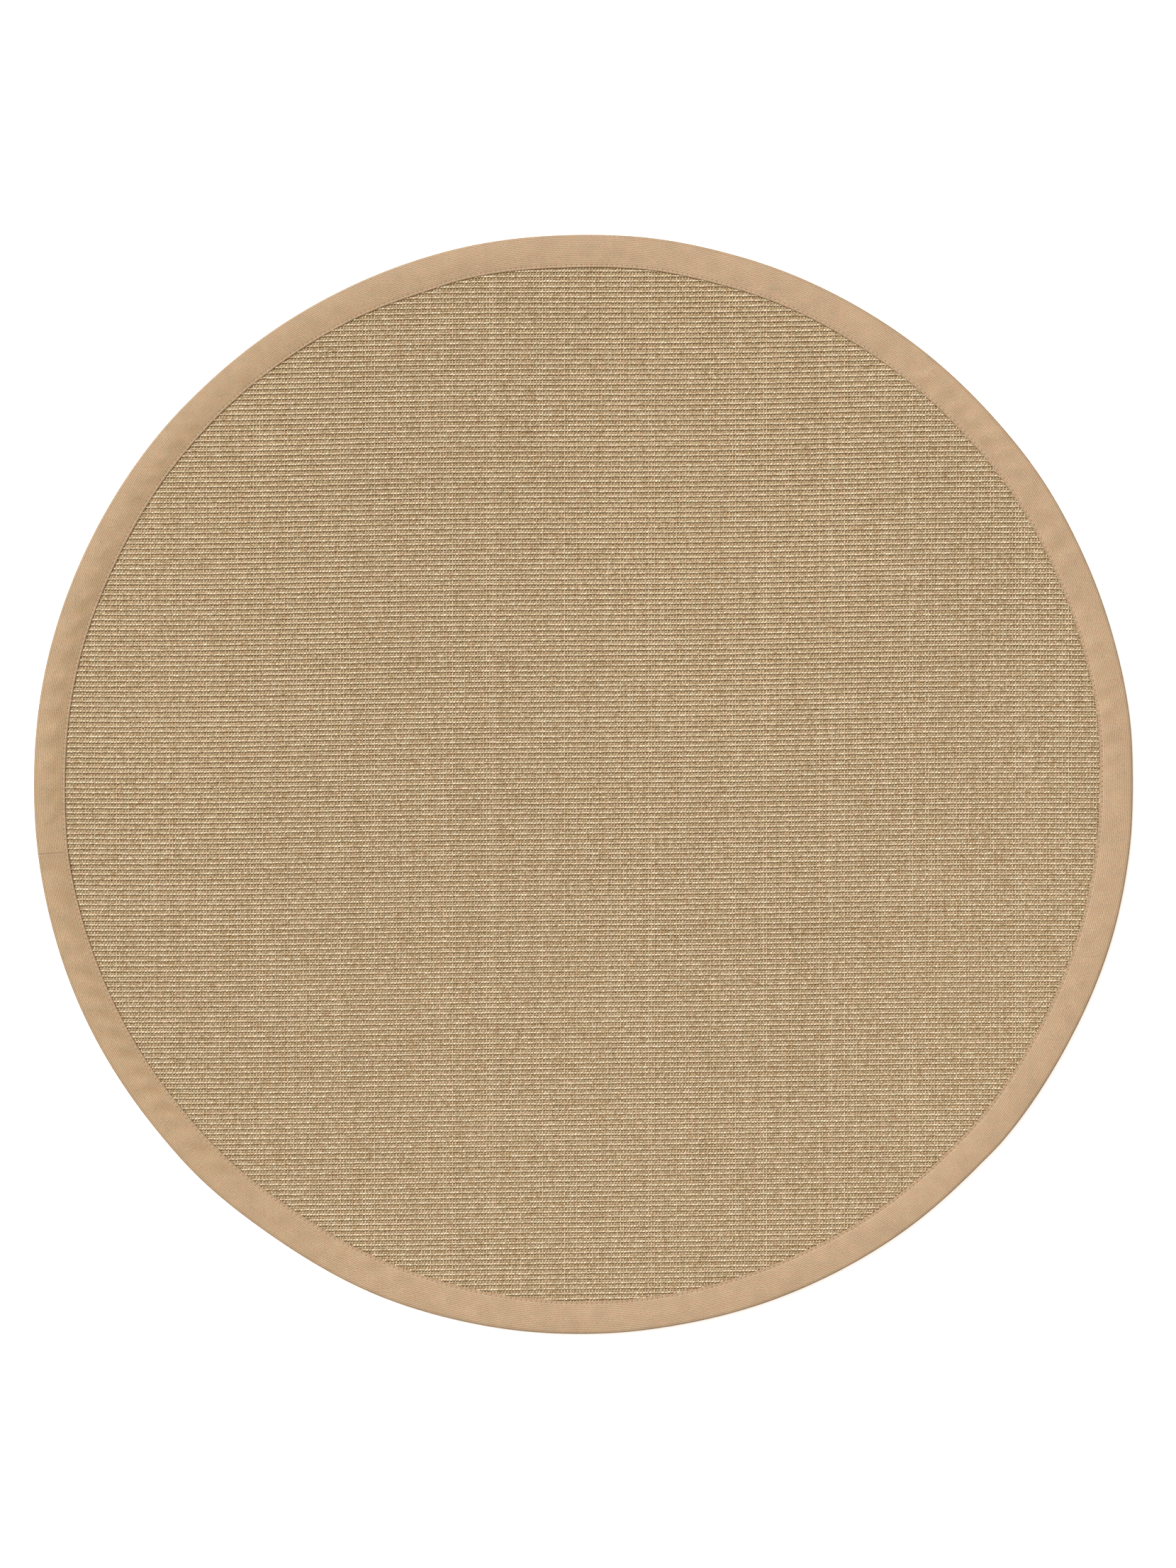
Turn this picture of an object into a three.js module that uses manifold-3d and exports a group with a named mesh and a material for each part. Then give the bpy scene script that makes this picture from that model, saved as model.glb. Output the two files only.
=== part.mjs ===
// A round sisal rug: a ribbed, woven sisal field with a wide cotton tape folded round its edge.
// Millimetres, +Z up. The rug lies on z = 0 and its ribs run along X.
// Angles go anticlockwise from +X, seen from above.
import * as THREE from 'three';
import { mergeVertices } from 'three/addons/utils/BufferGeometryUtils.js';
import Module from 'manifold-3d';

const RUG_RADIUS = 750;
const CLEARANCE = 0.3;

const RIB_PITCH = 6.97;
const RIB_BASE_WIDTH = 4.4;
const RIB_CREST = 5.0;
const RIB_VALLEY = 3.5;
const RIB_SWAY = 6.5;
const RIB_SWAY_REACH = 690;
const RIB_STEPS = 4;

const TAPE_THICKNESS = 1.0;
const TAPE_INNER_RADIUS = 705.6;
const TAPE_INNER_SHIFT = 1.4;
const TAPE_INNER_SHIFT_AT = 123;
const TAPE_LINING = RIB_CREST + CLEARANCE;
const TAPE_TOP = TAPE_LINING + TAPE_THICKNESS;
const TAPE_LAP = 0.9;
const PLAIN_STEP = 3;

const FIELD_EDGE_INSET = 3.5;
const FIELD_EDGE_STEP = 2.5;
const RECESS_HEIGHT = TAPE_THICKNESS + CLEARANCE;
const RECESS_FOOT_RADIUS = 686;
const RECESS_TOP_RADIUS = 698;
const RECESS_SIDES = 90;

const SISAL_COLOUR = 0xb9a07e;
const TAPE_COLOUR = 0xc4a685;

// How far the rug's edge and the tape's inner edge lie outside their true circles.
const EDGES = [
  { at: 0, outer: -1.1, inner: -0.8 },
  { at: 7, outer: 0.2, inner: 1.4 },
  { at: 16, outer: -0.5, inner: -0.1 },
  { at: 24, outer: -0.3, inner: -0.9 },
  { at: 34, outer: 1.0, inner: -0.1 },
  { at: 42, outer: 0.1, inner: -1.3 },
  { at: 54, outer: 0.9, inner: -1.2 },
  { at: 68, outer: 0.8, inner: 0.2 },
  { at: 76, outer: 0.0, inner: -0.7 },
  { at: 82, outer: 0.2, inner: 0.2 },
  { at: 91, outer: -1.2, inner: -1.8 },
  { at: 103, outer: 0.1, inner: 1.6 },
  { at: 108, outer: -0.2, inner: -0.3 },
  { at: 116, outer: -0.6, inner: 1.6 },
  { at: 132, outer: -0.6, inner: 1.4 },
  { at: 141, outer: 0.5, inner: 0.6 },
  { at: 154, outer: 0.0, inner: -1.2 },
  { at: 168, outer: 0.4, inner: 0.6 },
  { at: 180, outer: -0.5, inner: -0.1 },
  { at: 188, outer: 0.1, inner: 2.2 },
  { at: 204, outer: 0.9, inner: 0.2 },
  { at: 220, outer: -0.4, inner: -1.7 },
  { at: 225, outer: 0.4, inner: -1.0 },
  { at: 235, outer: -1.5, inner: -2.8 },
  { at: 249, outer: 1.7, inner: -0.4 },
  { at: 260, outer: 0.8, inner: 0.3 },
  { at: 272, outer: -0.3, inner: 0.6 },
  { at: 280, outer: -1.2, inner: 0.8 },
  { at: 293, outer: -0.4, inner: 0.0 },
  { at: 305, outer: 0.1, inner: 1.3 },
  { at: 315, outer: -1.0, inner: 0.8 },
  { at: 320, outer: 1.0, inner: 1.9 },
  { at: 331, outer: -0.6, inner: -0.2 },
  { at: 344, outer: 0.7, inner: -0.1 },
  { at: 353, outer: 0.0, inner: -0.9 },
];

// Runs of puckers in the tape. The crests stand pitch degrees apart and rise millimetres high,
// and lean is how many degrees a crest swings on its way from the seam to the outer edge.
const PUCKER_RUNS = [
  { from: 1.2, to: 17.0, pitch: 2.4, rise: 0.8, lean: -0.1 },
  { from: 19.2, to: 35.0, pitch: 3.0, rise: 0.9, lean: -0.5 },
  { from: 36.8, to: 51.5, pitch: 2.3, rise: 0.8, lean: -0.8 },
  { from: 53.6, to: 60.0, pitch: 4.0, rise: 0.5, lean: -1.0 },
  { from: 136.8, to: 149.0, pitch: 2.4, rise: 0.4, lean: 1.0 },
  { from: 153.0, to: 184.0, pitch: 2.95, rise: 0.7, lean: 1.0 },
  { from: 191.3, to: 198.5, pitch: 3.2, rise: 0.8, lean: -0.6 },
  { from: 200.4, to: 220.5, pitch: 2.4, rise: 0.8, lean: -0.9 },
  { from: 222.8, to: 230.0, pitch: 3.1, rise: 0.8, lean: -0.9 },
  { from: 234.5, to: 266.5, pitch: 3.6, rise: 0.4, lean: -1.0 },
  { from: 331.3, to: 357.5, pitch: 3.1, rise: 0.4, lean: 0.7 },
];

// The join: the end of the tape is folded under and lies over the start for a short way.
const JOIN = [
  { at: 187.25, lap: 0 },
  { at: 187.4, lap: 1 },
  { at: 188.7, lap: 1 },
  { at: 189.9, lap: 0 },
];

// The tape's section, anticlockwise from the inner end of its lower layer. A point lies by
// millimetres beyond the inner or outer edge, and takes its share of the pucker and of the lap.
const TAPE_SECTION = [
  { edge: 'inner', by: 0, height: 0, pucker: 0, lap: 0 },
  { edge: 'outer', by: -2.6, height: 0, pucker: 0, lap: 0 },
  { edge: 'outer', by: -0.8, height: 0.9, pucker: 0, lap: 0 },
  { edge: 'outer', by: 0, height: TAPE_TOP / 2, pucker: 0, lap: 0 },
  { edge: 'outer', by: -0.8, height: TAPE_TOP - 0.9, pucker: 0, lap: 0.5 },
  { edge: 'outer', by: -2.6, height: TAPE_TOP, pucker: 0, lap: 1 },
  { edge: 'inner', by: 30, height: TAPE_TOP, pucker: 0.6, lap: 1 },
  { edge: 'inner', by: 14, height: TAPE_TOP, pucker: 1, lap: 1 },
  { edge: 'inner', by: 2.8, height: TAPE_TOP, pucker: 0, lap: 1 },
  { edge: 'inner', by: 1.3, height: TAPE_TOP + 0.4, pucker: 0, lap: 1 },
  { edge: 'inner', by: 0, height: TAPE_TOP - 0.3, pucker: 0, lap: 0.5 },
  { edge: 'inner', by: 0.6, height: TAPE_LINING, pucker: 0, lap: 0 },
  { edge: 'inner', by: 14, height: TAPE_LINING, pucker: 1, lap: 0 },
  { edge: 'inner', by: 30, height: TAPE_LINING, pucker: 0.6, lap: 0 },
  { edge: 'outer', by: -3.0, height: TAPE_LINING, pucker: 0, lap: 0 },
  { edge: 'outer', by: -1.0, height: TAPE_TOP / 2, pucker: 0, lap: 0 },
  { edge: 'outer', by: -3.0, height: TAPE_THICKNESS, pucker: 0, lap: 0 },
  { edge: 'inner', by: 0, height: TAPE_THICKNESS, pucker: 0, lap: 0 },
];
const LEAN_FROM = 3;
const LEAN_TO = 30;

const wasm = await Module();
wasm.setup();

function edgeOffset(angle, side) {
  const turn = THREE.MathUtils.euclideanModulo(angle, 360);
  const next = EDGES.findIndex((row) => row.at > turn);
  const high = next < 0 ? { ...EDGES[0], at: 360 } : EDGES[next];
  const low = next < 0 ? EDGES[EDGES.length - 1] : EDGES[next - 1];
  const share = THREE.MathUtils.smoothstep(turn, low.at, high.at);
  return THREE.MathUtils.lerp(low[side], high[side], share);
}

function outerRadius(angle) {
  return RUG_RADIUS + edgeOffset(angle, 'outer');
}

function innerRadius(angle) {
  const fromShift = THREE.MathUtils.degToRad(angle - TAPE_INNER_SHIFT_AT);
  return TAPE_INNER_RADIUS + TAPE_INNER_SHIFT * Math.cos(fromShift) + edgeOffset(angle, 'inner');
}

function puckerStations() {
  const stations = [];
  for (const run of PUCKER_RUNS) {
    const halfPitch = run.pitch / 2;
    const count = Math.floor((run.to - run.from) / halfPitch);
    for (let k = 0; k <= count; k += 1) {
      const unevenness = 0.8 + 0.2 * Math.sin(2.3 * k);
      const rise = k % 2 === 0 ? run.rise * unevenness : 0;
      stations.push({ at: run.from + k * halfPitch, rise, lean: run.lean, lap: 0 });
    }
  }
  for (const row of JOIN) {
    stations.push({ at: row.at, rise: 0, lean: 0, lap: row.lap * TAPE_LAP });
  }
  return stations.sort((a, b) => a.at - b.at);
}

// The smooth stretches between the puckers get evenly spaced stations of their own.
function tapeStations() {
  const puckers = puckerStations();
  const stations = [];
  puckers.forEach((station, index) => {
    stations.push(station);
    const nextAt = index + 1 < puckers.length ? puckers[index + 1].at : puckers[0].at + 360;
    const pieces = Math.round((nextAt - station.at) / PLAIN_STEP);
    for (let k = 1; k < pieces; k += 1) {
      const at = THREE.MathUtils.lerp(station.at, nextAt, k / pieces);
      stations.push({ at, rise: 0, lean: 0, lap: 0 });
    }
  });
  return stations;
}

function tapePoint(station, point) {
  const radiusAt = point.edge === 'inner' ? innerRadius : outerRadius;
  const reach = radiusAt(station.at) + point.by - innerRadius(station.at);
  const angle = station.at + station.lean * THREE.MathUtils.smoothstep(reach, LEAN_FROM, LEAN_TO);
  const radius = radiusAt(angle) + point.by;
  const turn = THREE.MathUtils.degToRad(angle);
  const height = point.height + station.rise * point.pucker + station.lap * point.lap;
  return new THREE.Vector3(radius * Math.cos(turn), radius * Math.sin(turn), height);
}

function tapeGeometry() {
  const stations = tapeStations();
  const loop = [...TAPE_SECTION, TAPE_SECTION[0]];
  const profile = loop.map((point) => new THREE.Vector2(RUG_RADIUS, point.height));
  const geometry = new THREE.LatheGeometry(profile, stations.length);
  const position = geometry.attributes.position;
  for (let i = 0; i <= stations.length; i += 1) {
    const station = stations[i % stations.length];
    loop.forEach((point, j) => {
      const place = tapePoint(station, point);
      position.setXYZ(i * loop.length + j, place.x, place.y, place.z);
    });
  }
  return geometry;
}

function outlineShape(inset) {
  const points = [];
  for (let angle = 0; angle < 360; angle += FIELD_EDGE_STEP) {
    const radius = outerRadius(angle) - inset;
    const turn = THREE.MathUtils.degToRad(angle);
    points.push(new THREE.Vector2(radius * Math.cos(turn), radius * Math.sin(turn)));
  }
  return new THREE.Shape(points);
}

function ribProfile() {
  const halfCount = Math.ceil(RUG_RADIUS / RIB_PITCH) + 1;
  const reach = halfCount * RIB_PITCH;
  const profile = new THREE.Shape();
  profile.moveTo(-reach, 0);
  profile.lineTo(reach, 0);
  profile.lineTo(reach, RIB_VALLEY);
  for (let rib = halfCount - 1; rib >= -halfCount; rib -= 1) {
    const foot = rib * RIB_PITCH;
    profile.lineTo(foot + RIB_BASE_WIDTH, RIB_VALLEY);
    profile.lineTo(foot + RIB_BASE_WIDTH / 2, RIB_CREST);
    profile.lineTo(foot, RIB_VALLEY);
  }
  return profile;
}

// The ribs run along X and drift a little sideways, up on one side and down on the other.
function ribbedSlab() {
  const depth = 2 * (RUG_RADIUS + RIB_PITCH);
  const options = { depth, steps: RIB_STEPS, bevelEnabled: false };
  const geometry = new THREE.ExtrudeGeometry(ribProfile(), options);
  const position = geometry.attributes.position;
  for (let i = 0; i < position.count; i += 1) {
    const x = position.getZ(i) - depth / 2;
    const sway = RIB_SWAY * Math.sin((Math.PI * x) / (2 * RIB_SWAY_REACH));
    position.setXYZ(i, x, position.getX(i) + sway, position.getY(i));
  }
  return geometry;
}

function outlinePrism() {
  const options = { depth: 3 * RIB_CREST, steps: 1, bevelEnabled: false };
  const geometry = new THREE.ExtrudeGeometry(outlineShape(FIELD_EDGE_INSET), options);
  return geometry.translate(0, 0, -RIB_CREST);
}

// The room under the field's edge that the tape's lower layer takes.
function underRecess() {
  const outside = RUG_RADIUS + RIB_PITCH;
  const corners = [
    [RECESS_FOOT_RADIUS, -RIB_CREST],
    [outside, -RIB_CREST],
    [outside, RECESS_HEIGHT],
    [RECESS_TOP_RADIUS, RECESS_HEIGHT],
    [RECESS_FOOT_RADIUS, 0],
    [RECESS_FOOT_RADIUS, -RIB_CREST],
  ];
  const profile = corners.map(([radius, height]) => new THREE.Vector2(radius, height));
  return new THREE.LatheGeometry(profile, RECESS_SIDES).rotateX(Math.PI / 2);
}

function mergedCopy(geometry) {
  const copy = geometry.clone();
  copy.deleteAttribute('normal');
  copy.deleteAttribute('uv');
  return mergeVertices(copy);
}

function toSolid(geometry) {
  const merged = mergedCopy(geometry);
  const vertProperties = Float32Array.from(merged.attributes.position.array);
  const triVerts = Uint32Array.from(merged.index.array);
  return new wasm.Manifold(new wasm.Mesh({ numProp: 3, vertProperties, triVerts }));
}

function toGeometry(solid) {
  const mesh = solid.getMesh();
  const geometry = new THREE.BufferGeometry();
  geometry.setAttribute('position', new THREE.BufferAttribute(mesh.vertProperties, 3));
  geometry.setIndex(new THREE.BufferAttribute(mesh.triVerts, 1));
  return geometry;
}

function fieldGeometry() {
  const slab = toSolid(ribbedSlab());
  const round = slab.intersect(toSolid(outlinePrism()));
  return toGeometry(round.subtract(toSolid(underRecess())));
}

function clothMesh(name, geometry, color, roughness) {
  const material = new THREE.MeshStandardMaterial({ color, roughness, metalness: 0 });
  const mesh = new THREE.Mesh(geometry, material);
  mesh.name = name;
  return mesh;
}

const tape = mergedCopy(tapeGeometry());
tape.computeVertexNormals();
const field = fieldGeometry();
field.computeVertexNormals();

const group = new THREE.Group();
group.add(clothMesh('sisal_field', field, SISAL_COLOUR, 0.95));
group.add(clothMesh('binding_tape', tape, TAPE_COLOUR, 0.85));

// The rug's origin is at the middle of its uneven outline.
tape.computeBoundingBox();
const middle = tape.boundingBox.getCenter(new THREE.Vector3());
group.position.set(-middle.x, -middle.y, 0);

export default group;
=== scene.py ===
"""A round sisal rug with a wide cotton tape binding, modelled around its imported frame.

Metres, +Z up. The rug lies on z = 0, its rows of loops run along X, and angles go anticlockwise
from +X, seen from above. The field is built as it is woven: a ground cloth, low wefts and warps
that cross on it, and raised rows of loops over the warps. The tape is folded over the edge and
sewn through with a row of stitches.
"""
import math

import bmesh
import bpy
import numpy as np
from bpy.props import FloatProperty, FloatVectorProperty, IntProperty, PointerProperty
from mathutils import Matrix, Vector


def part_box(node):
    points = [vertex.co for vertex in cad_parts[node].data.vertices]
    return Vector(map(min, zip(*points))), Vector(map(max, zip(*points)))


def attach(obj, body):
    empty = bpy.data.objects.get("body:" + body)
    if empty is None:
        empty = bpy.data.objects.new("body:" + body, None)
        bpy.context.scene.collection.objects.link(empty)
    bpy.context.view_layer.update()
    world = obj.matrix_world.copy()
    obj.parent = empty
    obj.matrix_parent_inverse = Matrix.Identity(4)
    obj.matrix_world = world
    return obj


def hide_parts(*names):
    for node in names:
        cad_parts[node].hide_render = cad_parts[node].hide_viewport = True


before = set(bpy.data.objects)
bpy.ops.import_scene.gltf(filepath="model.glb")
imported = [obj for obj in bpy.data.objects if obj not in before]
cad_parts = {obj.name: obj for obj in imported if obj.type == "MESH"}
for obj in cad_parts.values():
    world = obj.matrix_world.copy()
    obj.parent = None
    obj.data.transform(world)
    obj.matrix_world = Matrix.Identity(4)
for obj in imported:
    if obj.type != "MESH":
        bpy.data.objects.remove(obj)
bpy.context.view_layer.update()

bl_info = {
    "name": "Round Sisal Rug",
    "version": (1, 0, 0),
    "blender": (4, 5, 0),
    "location": "View3D > Sidebar > Rug",
    "description": "Builds a round sisal rug with a cotton tape binding around its packed frame",
    "category": "Add Mesh",
}

MM = 0.001
SEED = 41
BODY = "root"
FIELD_NODE = "sisal_field"
TAPE_NODE = "binding_tape"
MATCH = 0.01 * MM
ROW_PITCH = 6.97 * MM


def paint(red, green, blue):
    """A linear colour from the 0 to 255 values of a paint chart."""
    shares = (red / 255, green / 255, blue / 255)
    return tuple(s / 12.92 if s <= 0.04045 else ((s + 0.055) / 1.055) ** 2.4 for s in shares)


# Measures taken from the frame

def node_points(name):
    """The corners of a frame node's mesh, as an array."""
    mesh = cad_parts[name].data
    points = np.empty(len(mesh.vertices) * 3)
    mesh.vertices.foreach_get("co", points)
    return points.reshape(-1, 3)


def angle_of(x, y):
    """Degrees from +X, from 0 to 360."""
    return np.degrees(np.arctan2(y, x)) % 360


def edge_line(height, low, high):
    """The angles and radii of the corners of the frame's tape at one height, between two radii."""
    points = node_points(TAPE_NODE)
    radius = np.hypot(points[:, 0], points[:, 1])
    chosen = (np.abs(points[:, 2] - height) < MATCH) & (radius > low) & (radius < high)
    points, radius = points[chosen], radius[chosen]
    outermost = np.argsort(-radius)
    angle = np.round(angle_of(points[outermost, 0], points[outermost, 1]), 1)
    at, first = np.unique(angle, return_index=True)
    return at, radius[outermost][first]


RIM_HEIGHT = 3.15 * MM
NOSE_HEIGHT = 6.0 * MM
FIELD_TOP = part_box(FIELD_NODE)[1].z
RIM_RANGE = (0.74, 0.76)
NOSE_RANGE = (0.70, 0.71)
RIM = edge_line(RIM_HEIGHT, *RIM_RANGE)
NOSE = edge_line(NOSE_HEIGHT, *NOSE_RANGE)
RIM_RADIUS = float(np.mean(RIM[1]))
NOSE_RADIUS = float(np.mean(NOSE[1]))


def rim_radius(angle):
    """The rug's outer radius at each angle."""
    return np.interp(angle, *RIM, period=360)


def nose_radius(angle):
    """The radius of the tape's inner edge, its nose, at each angle."""
    return np.interp(angle, *NOSE, period=360)


def first_row():
    """How far the rib nearest the middle of the frame's field lies from the X axis."""
    points = node_points(FIELD_NODE)
    crest = (points[:, 2] > FIELD_TOP - MATCH) & (np.abs(points[:, 0]) < 2 * MM)
    across = points[crest, 1]
    return float(across[np.argmin(np.abs(across))])


def smooth_step(value, low, high):
    """0 below low, 1 above high, and a soft rise between."""
    share = np.clip((value - low) / (high - low), 0, 1)
    return share * share * (3 - 2 * share)


# Settings

class RugWeave(bpy.types.PropertyGroup):
    """The woven sisal field."""

    row_pitch: FloatProperty(name="Row pitch", default=ROW_PITCH, unit="LENGTH",
                             description="Distance between rows of loops")
    loop_pitch: FloatProperty(name="Loop pitch", default=4.24 * MM, unit="LENGTH",
                              description="Distance between loops along a row")
    row_sway: FloatProperty(name="Row sway", default=6.5 * MM, unit="LENGTH",
                            description="How far the rows drift, up on the right and down on the left")
    sway_reach: FloatProperty(name="Sway reach", default=0.69, unit="LENGTH",
                              description="Distance from the middle to the end of the drift")
    loop_width: FloatProperty(name="Loop width", default=3.4 * MM, unit="LENGTH",
                              description="Width of a loop across its row")
    neck_width: FloatProperty(name="Neck width", default=2.1 * MM, unit="LENGTH",
                              description="Width of the yarn where it goes over a warp")
    loop_lean: FloatProperty(name="Loop lean", default=0.5 * MM, unit="LENGTH",
                             description="How far a loop's near side sits back and its far side on")
    unevenness: FloatProperty(name="Unevenness", default=0.2 * MM, unit="LENGTH",
                              description="Usual error in the place and height of a loop")
    pale: FloatVectorProperty(name="Pale straw", subtype="COLOR", default=paint(247, 230, 203),
                              description="The lightest sisal yarn")
    deep: FloatVectorProperty(name="Deep straw", subtype="COLOR", default=paint(147, 119, 76),
                              description="The darkest sisal yarn")
    # Painted shade: the ground and its darkest colour are darker than the yarns and stand in for the
    # shade between the rows.
    ground: FloatVectorProperty(name="Ground", subtype="COLOR", default=paint(200, 168, 120),
                                description="The sisal deep between the rows")
    depth_shade: FloatVectorProperty(name="Depths", subtype="COLOR", default=paint(118, 84, 40),
                                description="The darkest gaps between the rows")


class RugTape(bpy.types.PropertyGroup):
    """The cotton tape round the edge."""

    thickness: FloatProperty(name="Thickness", default=1.0 * MM, unit="LENGTH",
                             description="Thickness of the tape")
    seam: FloatProperty(name="Seam", default=3.4 * MM, unit="LENGTH",
                        description="Distance from the tape's inner edge to its stitches")
    stitches: IntProperty(name="Stitches", default=645,
                          description="Number of stitches round the rug")
    cotton: FloatVectorProperty(name="Cotton", subtype="COLOR", default=paint(207, 176, 142),
                                description="Colour of the cotton tape")
    shade: FloatVectorProperty(name="Cotton shade", subtype="COLOR", default=paint(122, 96, 70),
                               description="Colour between the twill lines of the tape")
    thread: FloatVectorProperty(name="Thread", subtype="COLOR", default=paint(184, 156, 125),
                                description="Colour of the sewing thread")


class RugStudio(bpy.types.PropertyGroup):
    """The floor, the lights and the camera."""

    key_strength: FloatProperty(name="Key light", default=4.3,
                                description="Strength of the light from the upper left")
    key_spread: FloatProperty(name="Key spread", default=math.radians(30), subtype="ANGLE",
                              description="How wide the key light looks from the rug")
    fill_strength: FloatProperty(name="Fill light", default=0.52,
                                 description="Strength of the light from all round")
    lens: FloatProperty(name="Lens", default=85.0, description="Focal length in millimetres")
    floor: FloatVectorProperty(name="Floor", subtype="COLOR", default=(0.95, 0.95, 0.95),
                               description="Colour of the floor")
    floor_glow: FloatProperty(name="Floor glow", default=0.5,
                              description="Strength of the white table's own light")


def weave():
    """The settings of the woven field."""
    return bpy.context.scene.rug_weave


def tape():
    """The settings of the cotton tape."""
    return bpy.context.scene.rug_tape


def studio():
    """The settings of the studio."""
    return bpy.context.scene.rug_studio


def link(name, mesh):
    """A new object at the origin, in the scene."""
    piece = bpy.data.objects.new(name, mesh)
    bpy.context.scene.collection.objects.link(piece)
    return piece


def keep_values(mesh, name, values):
    """Stores one number for each corner point of a mesh, for its material to read."""
    mesh.attributes.new(name, "FLOAT", "POINT").data.foreach_set("value", values.astype(np.float32))


def yarn_piece(name, yarns):
    """Joins closed yarns into one piece.

    A yarn is an array of rings, all with the same number of corners, and two arrays more: the tint
    and the crest, painted light where the yarn stands out and painted shade where it is low or turned
    from the light, with one value for each ring or for each corner.
    """
    points, faces, values, start = [], [], [], 0
    for run, tint, crest in yarns:
        rings, corners, _ = run.shape
        ring = start + np.arange(rings * corners).reshape(rings, corners)
        beside = np.roll(ring, -1, axis=1)
        walls = np.stack([ring[:-1], ring[1:], beside[1:], beside[:-1]], axis=-1)
        walls = walls.reshape(-1, 4).tolist()
        faces.extend([*walls, ring[0].tolist(), ring[-1][::-1].tolist()])
        points.append(run.reshape(-1, 3))
        by_ring = (tint.reshape(rings, -1), crest.reshape(rings, -1))
        values.append([np.broadcast_to(kept, (rings, corners)).ravel() for kept in by_ring])
        start += rings * corners
    mesh = bpy.data.meshes.new(name)
    mesh.from_pydata(np.concatenate(points).tolist(), [], faces)
    mesh.shade_smooth()
    # The crest values hold each corner's share of painted light against painted shade.
    tints, crests = np.concatenate(values, axis=1)
    keep_values(mesh, "tint", tints)
    keep_values(mesh, "crest", crests)
    return link(name, mesh)


# The woven field

GROUND_TOP = 3.1 * MM
GROUND_RELIEF = 0.2
FRAME_WELD = 0.001 * MM
UNDERSIDE_TOP = 2.0 * MM
RIB_VALLEY = 3.5 * MM
LOOP_CREST = 5.0 * MM
LOOP_NECK = 4.1 * MM
LOOP_SEAT = 4.1 * MM
LOOP_LIP = 0.15 * MM
LOOP_DROP = 0.15 * MM
TAPE_PRESS = 0.7 * MM
PRESS_FROM = -0.6 * MM
PRESS_FULL = 1.4 * MM
NECK_SEAT = 3.8 * MM
NECK_SPREAD = 0.25 * MM
TAPE_COVER = 7.0 * MM
LOOP_BANDS = 4
# Painted light and shade on a loop: how pale its near edge, its ridge and its far edge are painted.
# The near edge is turned from the light and is painted deep as painted shade.
LOOP_LIGHT_SHARES = (0.15, 1.0, 0.9)
LOOP_TINT = 0.62
TINT_SPREAD = 0.28
YARN_TINT = 0.5
YARN_TINT_SPREAD = 0.1
WARP_TOP = 4.0 * MM
WARP_FOOT = 3.2 * MM
WARP_WIDTH = 1.25 * MM
WARP_SHOULDER = WARP_WIDTH / 3.4
WARP_STEP = 60 * MM
# Painted shade: the low warps and wefts get smaller shares, which paint them nearer the deep colour.
WARP_LIGHT_SHARE = 0.44
WEFT_LIGHT_SHARE = 0.3
WEFT_DROP = 3.85 * MM
WEFT_TOP = 4.0 * MM
WEFT_FOOT = 3.1 * MM
WEFT_WIDTH = 1.5 * MM
WEFT_STEP = 70 * MM
END_STEP = 2 * MM
WANDER = 0.28 * MM
ROW_WAVES = (21, 6.3)
ROW_STEPS = (2.4, 1.7)
WARP_WAVES = (17, 5.1)
WARP_STEPS = (2.1, 1.3)
ROW_DRIFT = 1.1 * MM
DRIFT_ALONG = 8
DRIFT_ACROSS = 4.2
DRIFT_LEAST = 0.8


def wander(along, number, waves, steps):
    """How far one yarn wanders to either side on its way, in two waves of its own."""
    first, second = (np.sin(along * wave + number * step) for wave, step in zip(waves, steps))
    return WANDER * first * second


def row_height(x, row):
    """The Y of a row of loops along X: it sways across the rug, drifts slowly and wanders a little."""
    w = weave()
    y = ROW_START + row * w.row_pitch
    sway = w.row_sway * np.sin(np.pi * x / (2 * w.sway_reach))
    drift = ROW_DRIFT * (np.sin(x * DRIFT_ALONG) * (DRIFT_LEAST + y) + np.sin(y * DRIFT_ACROSS))
    return y + sway - drift + wander(x, row, ROW_WAVES, ROW_STEPS)


def warp_place(column, y):
    """The X of a warp along Y."""
    return column * weave().loop_pitch + wander(y, column, WARP_WAVES, WARP_STEPS)


def tape_reach(x, y):
    """How far a place in the field lies under the tape, or below 0 where it is bare."""
    return np.hypot(x, y) - nose_radius(angle_of(x, y))


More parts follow.
